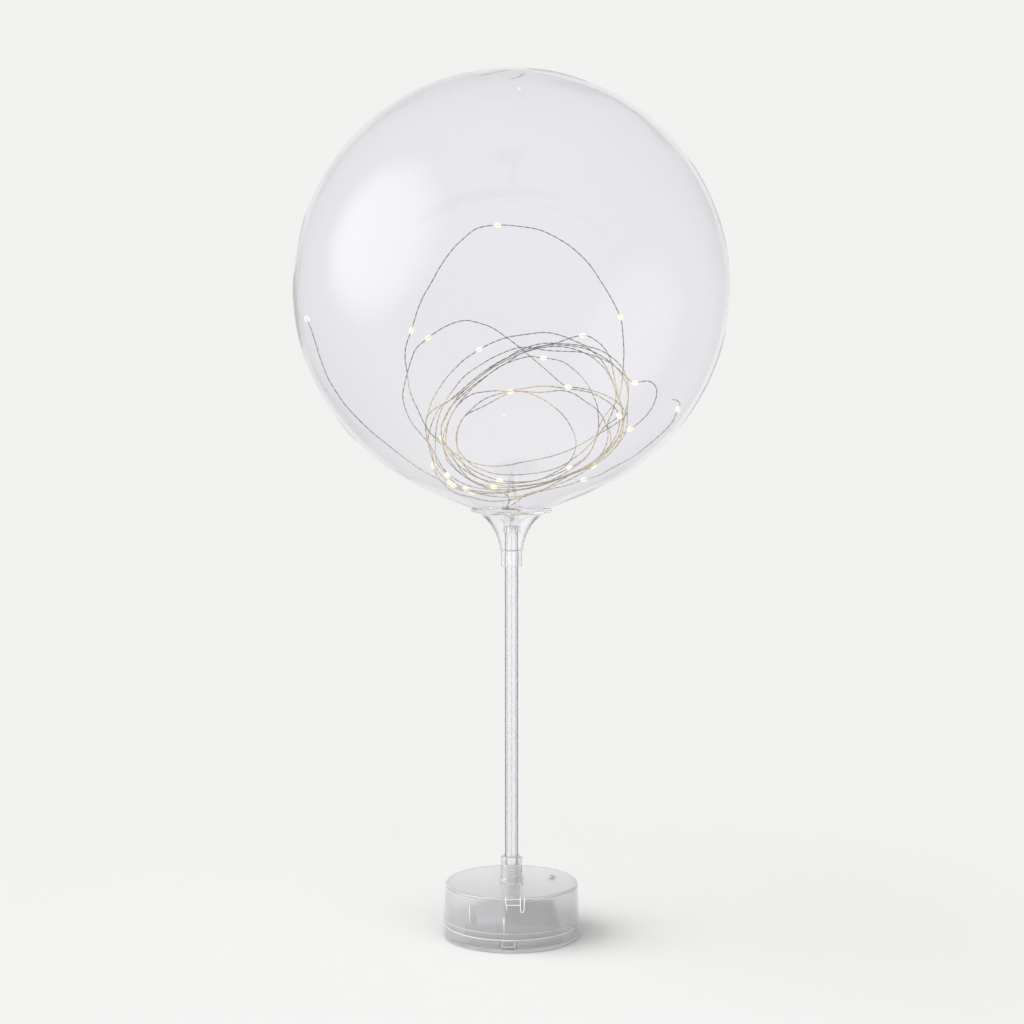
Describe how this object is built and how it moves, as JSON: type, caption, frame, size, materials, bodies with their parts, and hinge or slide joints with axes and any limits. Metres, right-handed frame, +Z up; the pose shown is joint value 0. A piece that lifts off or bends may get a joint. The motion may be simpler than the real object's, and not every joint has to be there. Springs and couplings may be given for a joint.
{
  "type": "bubble balloon light",
  "caption": "Clear film bubble balloon with fairy lights inside, seated in a trumpet cup on a clear pole that stands on a round battery base.",
  "frame": {"origin": "middle of the underside of the round base", "axes": "+Z up along the pole; +Y away from the viewer, so that the base's catch faces -Y; +X to the viewer's right"},
  "size_m": [0.2672, 0.2672, 0.5371],
  "materials": {
    "film": "clear glossy stretch film, see-through",
    "cup_plastic": "clear polished plastic",
    "pole_plastic": "clear to slightly milky plastic tube",
    "coupling_plastic": "clear plastic, moulded thread",
    "housing_plastic": "clear moulded plastic, slightly frosted inside",
    "cover_plastic": "clear moulded plastic",
    "screw_steel": "bright plated steel",
    "cell_wrap": "grey and silver wrap, unmarked",
    "contact_steel": "plated spring steel",
    "lead_copper": "lacquered copper wire",
    "fairy_wire": "lacquered copper wire, taupe",
    "led_bead": "clear resin drop over a warm white lamp"
  },
  "bodies": {
    "root": {"balloon": "film", "balloon_neck": "film", "trumpet_cup": "cup_plastic", "pole": "pole_plastic", "pole_coupling": "coupling_plastic", "base_housing": "housing_plastic", "battery_cover": "cover_plastic", "top_screw": "screw_steel", "battery_1": "cell_wrap", "battery_2": "cell_wrap", "battery_3": "cell_wrap", "contact_left": "contact_steel", "contact_right": "contact_steel", "lead_wire": "lead_copper"}
  },
  "joints": []
}
